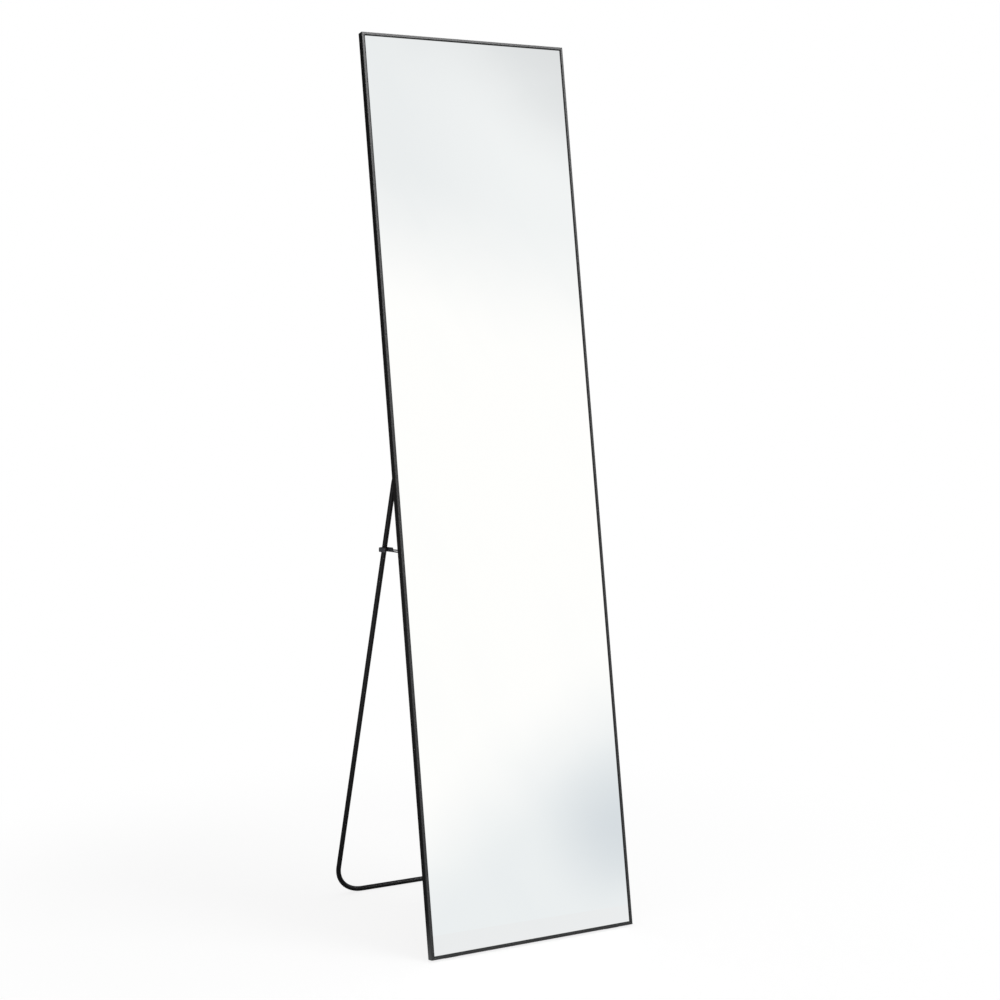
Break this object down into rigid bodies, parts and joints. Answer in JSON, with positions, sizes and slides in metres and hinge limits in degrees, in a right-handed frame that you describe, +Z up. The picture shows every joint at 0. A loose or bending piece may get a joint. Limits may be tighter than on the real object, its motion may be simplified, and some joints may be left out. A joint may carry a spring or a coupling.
{
  "type": "leaning floor mirror",
  "caption": "Tall narrow floor mirror in a thin black metal frame, leaning back on a folding U-shaped tube stand held by wire stays.",
  "frame": {"origin": "on the floor, under the middle of the box round the standing mirror with its stand open", "axes": "+Z up, the glass faces -Y, +X to the right as seen from the front"},
  "size_m": [0.38, 0.4079, 1.4835],
  "materials": {
    "mirror_glass": "polished float glass, silvered behind",
    "backing_film": "woven splinter film",
    "back_board": "hardboard, smooth face out",
    "foam": "closed-cell foam tape",
    "frame_aluminium": "black anodised, brushed and satin",
    "plain_steel": "bright zinc on steel",
    "zinc_screws": "black zinc, pan heads",
    "bracket_steel": "black powder coat",
    "bolt_steel": "black zinc, satin",
    "washer_nylon": "natural nylon",
    "stand_steel": "fine-textured black powder coat",
    "stay_wire": "black zinc",
    "stay_sleeve": "dark grey moulded vinyl",
    "pad_rubber": "black rubber"
  },
  "bodies": {
    "mirror": {"back_board": "back_board", "backing_film": "backing_film", "corner_key_bottom_left": "plain_steel", "corner_key_bottom_right": "plain_steel", "corner_key_top_left": "plain_steel", "corner_key_top_right": "plain_steel", "foam_strips": "foam", "foot_pad_left": "pad_rubber", "foot_pad_right": "pad_rubber", "frame_bottom": "frame_aluminium", "frame_left": "frame_aluminium", "frame_right": "frame_aluminium", "frame_top": "frame_aluminium", "hanger_left": "bracket_steel", "hanger_right": "bracket_steel", "hanger_screws": "zinc_screws", "hinge_bracket_left": "bracket_steel", "hinge_bracket_right": "bracket_steel", "hinge_nut_plate_left": "plain_steel", "hinge_nut_plate_right": "plain_steel", "hinge_screws": "zinc_screws", "mirror_glass": "mirror_glass", "pivot_bolt_left": "bolt_steel", "pivot_bolt_right": "bolt_steel", "pivot_nut_left": "bolt_steel", "pivot_nut_right": "bolt_steel", "pivot_washers": "washer_nylon", "stay_bracket_left": "bracket_steel", "stay_bracket_right": "bracket_steel", "stay_nut_plate_left": "plain_steel", "stay_nut_plate_right": "plain_steel", "stay_screws": "zinc_screws"},
    "stand": {"stand_tube": "stand_steel"},
    "stay_left": {"stay_sleeve_left": "stay_sleeve", "stay_wire_left": "stay_wire"},
    "stay_right": {"stay_sleeve_right": "stay_sleeve", "stay_wire_right": "stay_wire"}
  },
  "joints": [
    {"name": "stand_fold", "type": "hinge", "parent": "mirror", "child": "stand", "pos_m": [0, -0.05633, 0.78219], "axis": [1, 0, 0], "range_deg": [-27.4, 0]},
    {"name": "stay_left_drop", "type": "hinge", "parent": "mirror", "child": "stay_left", "pos_m": [-0.1763, -0.08225, 0.64376], "axis": [1, 0, 0], "range_deg": [-86.01, 0]},
    {"name": "stay_right_drop", "type": "hinge", "parent": "mirror", "child": "stay_right", "pos_m": [0.1763, -0.08225, 0.64376], "axis": [1, 0, 0], "range_deg": [-86.01, 0]}
  ],
  "couplings": [
    {"joint": "stay_left_drop", "follows": "stand_fold", "ratio": 3.1387},
    {"joint": "stay_right_drop", "follows": "stand_fold", "ratio": 3.1387}
  ]
}
